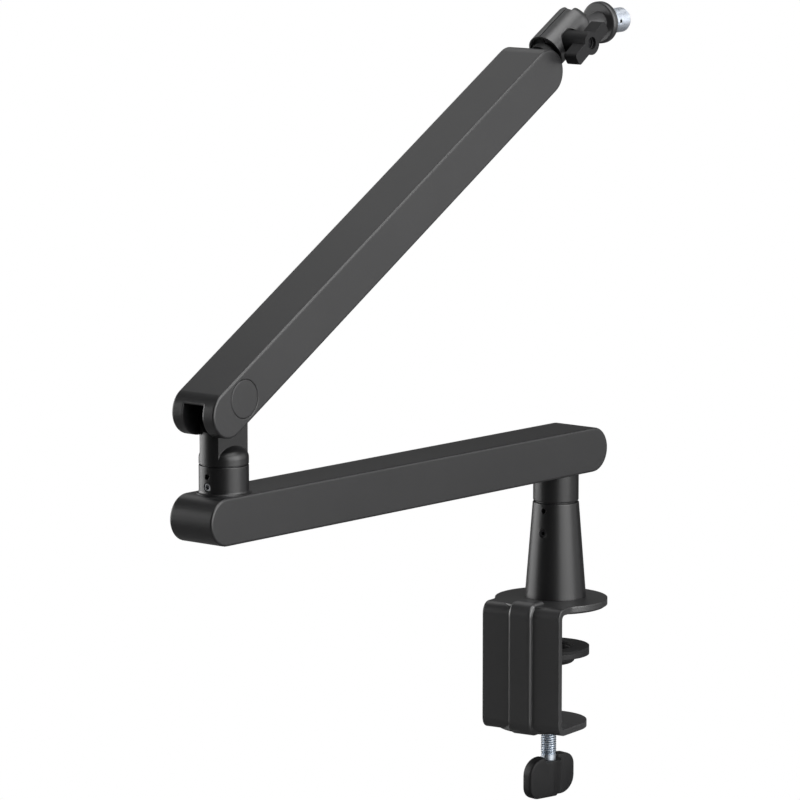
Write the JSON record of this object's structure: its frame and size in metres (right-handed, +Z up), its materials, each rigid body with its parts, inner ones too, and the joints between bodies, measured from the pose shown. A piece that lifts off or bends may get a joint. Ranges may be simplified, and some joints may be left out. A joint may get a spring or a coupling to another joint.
{
  "type": "microphone boom arm",
  "caption": "Desk-clamp microphone boom arm: screw C-clamp, swivel riser, folding box-section arms with a friction lift pivot, and a tilting head with a threaded stud.",
  "frame": {"origin": "on the clamp screw's axis, on the plane where the upper jaw rests on the desk", "axes": "+Z up, +X along the desk edge, +Y in over the desk from the clamp's back"},
  "size_m": [0.0984, 0.4143, 0.513],
  "materials": {
    "arm_black": "fine satin powder coat on aluminium",
    "cover_black": "moulded black cover",
    "clamp_black": "satin powder coat on steel",
    "turned_black": "satin black over turned metal",
    "head_black": "glass-filled nylon",
    "knob_black": "moulded black",
    "plate_black": "moulded black",
    "pad_rubber": "matt",
    "screw_zinc": "bright zinc plate",
    "adapter_chrome": "nickel-chrome plate",
    "fastener_black": "black oxide",
    "inner_steel": "plain machined",
    "bush_bronze": "sintered bronze and brass",
    "washer_nylon": "nylon"
  },
  "bodies": {
    "clamp": {"clamp_bracket": "clamp_black", "upper_jaw_pad": "pad_rubber", "riser": "turned_black", "riser_bush": "bush_bronze", "riser_bolts": "fastener_black", "riser_set_screws": "fastener_black"},
    "pressure_plate": {"pressure_plate": "plate_black", "pressure_pad": "pad_rubber"},
    "clamp_screw": {"clamp_screw": "screw_zinc", "plate_clip": "inner_steel", "clamp_knob": "knob_black"},
    "lower_arm": {"base_post": "turned_black", "base_thrust_washer": "washer_nylon", "lower_arm_shell": "arm_black", "lower_arm_cover": "cover_black", "base_joint_plate": "inner_steel", "base_joint_bolts": "fastener_black", "elbow_collar": "turned_black", "elbow_joint_plate": "inner_steel", "elbow_joint_bolts": "fastener_black", "elbow_bush": "bush_bronze", "elbow_set_screws": "fastener_black"},
    "elbow": {"elbow_neck": "turned_black", "elbow_thrust_washer": "washer_nylon", "neck_clip": "inner_steel"},
    "upper_arm": {"upper_arm_shell": "arm_black", "upper_arm_cover": "cover_black", "pivot_bolt": "inner_steel", "pivot_nut": "inner_steel", "disc_spring": "inner_steel", "friction_washers": "washer_nylon", "pivot_cap_front": "arm_black", "pivot_cap_rear": "arm_black"},
    "head": {"head_spigot": "turned_black", "spigot_washer": "inner_steel", "spigot_nut": "inner_steel", "head_clamp_front": "head_black", "head_clamp_rear": "head_black", "head_clamp_bolt": "fastener_black"},
    "head_knob": {"head_knob": "knob_black", "head_knob_insert": "bush_bronze"},
    "ball": {"tilt_ball": "inner_steel"},
    "mic_stud": {"mic_stud": "turned_black", "thread_adapter": "adapter_chrome"}
  },
  "joints": [
    {"name": "base_swivel", "type": "hinge", "parent": "clamp", "child": "lower_arm", "pos_m": [0, 0.0078, 0.0855], "axis": [0, 0, 1], "continuous": true},
    {"name": "elbow_swivel", "type": "hinge", "parent": "lower_arm", "child": "elbow", "pos_m": [-0.04164, -0.30847, 0.1321], "axis": [0, 0, 1], "continuous": true},
    {"name": "arm_lift", "type": "hinge", "parent": "elbow", "child": "upper_arm", "pos_m": [-0.04164, -0.30847, 0.1719], "axis": [0.9913, -0.1314, 0], "range_deg": [-31, 46]},
    {"name": "head_swivel", "type": "hinge", "parent": "upper_arm", "child": "head", "pos_m": [-0.00209, -0.01009, 0.35383], "axis": [0.1124, 0.8484, 0.5173], "continuous": true},
    {"name": "ball_tilt", "type": "hinge", "parent": "head", "child": "ball", "pos_m": [0.00188, 0.01986, 0.37209], "axis": [0.9913, -0.1314, 0], "range_deg": [-13.5, 73]},
    {"name": "stud_spin", "type": "hinge", "parent": "ball", "child": "mic_stud", "pos_m": [0.00188, 0.01986, 0.37209], "axis": [0.1313, 0.991, 0.0262], "continuous": true},
    {"name": "head_knob_turn", "type": "hinge", "parent": "head", "child": "head_knob", "pos_m": [0.00003, 0.00594, 0.3636], "axis": [0.9913, -0.1314, 0], "range_deg": [0, 180]},
    {"name": "pad_lift", "type": "slide", "parent": "clamp", "child": "pressure_plate", "axis": [0, 0, 1], "range_m": [-0.036, 0.0195]},
    {"name": "screw_turn", "type": "hinge", "parent": "pressure_plate", "child": "clamp_screw", "pos_m": [0, 0, -0.037], "axis": [0, 0, 1], "range_deg": [-8641, 4681]}
  ],
  "couplings": [
    {"joint": "screw_turn", "follows": "pad_lift", "rad_per_m": 4188.8}
  ]
}
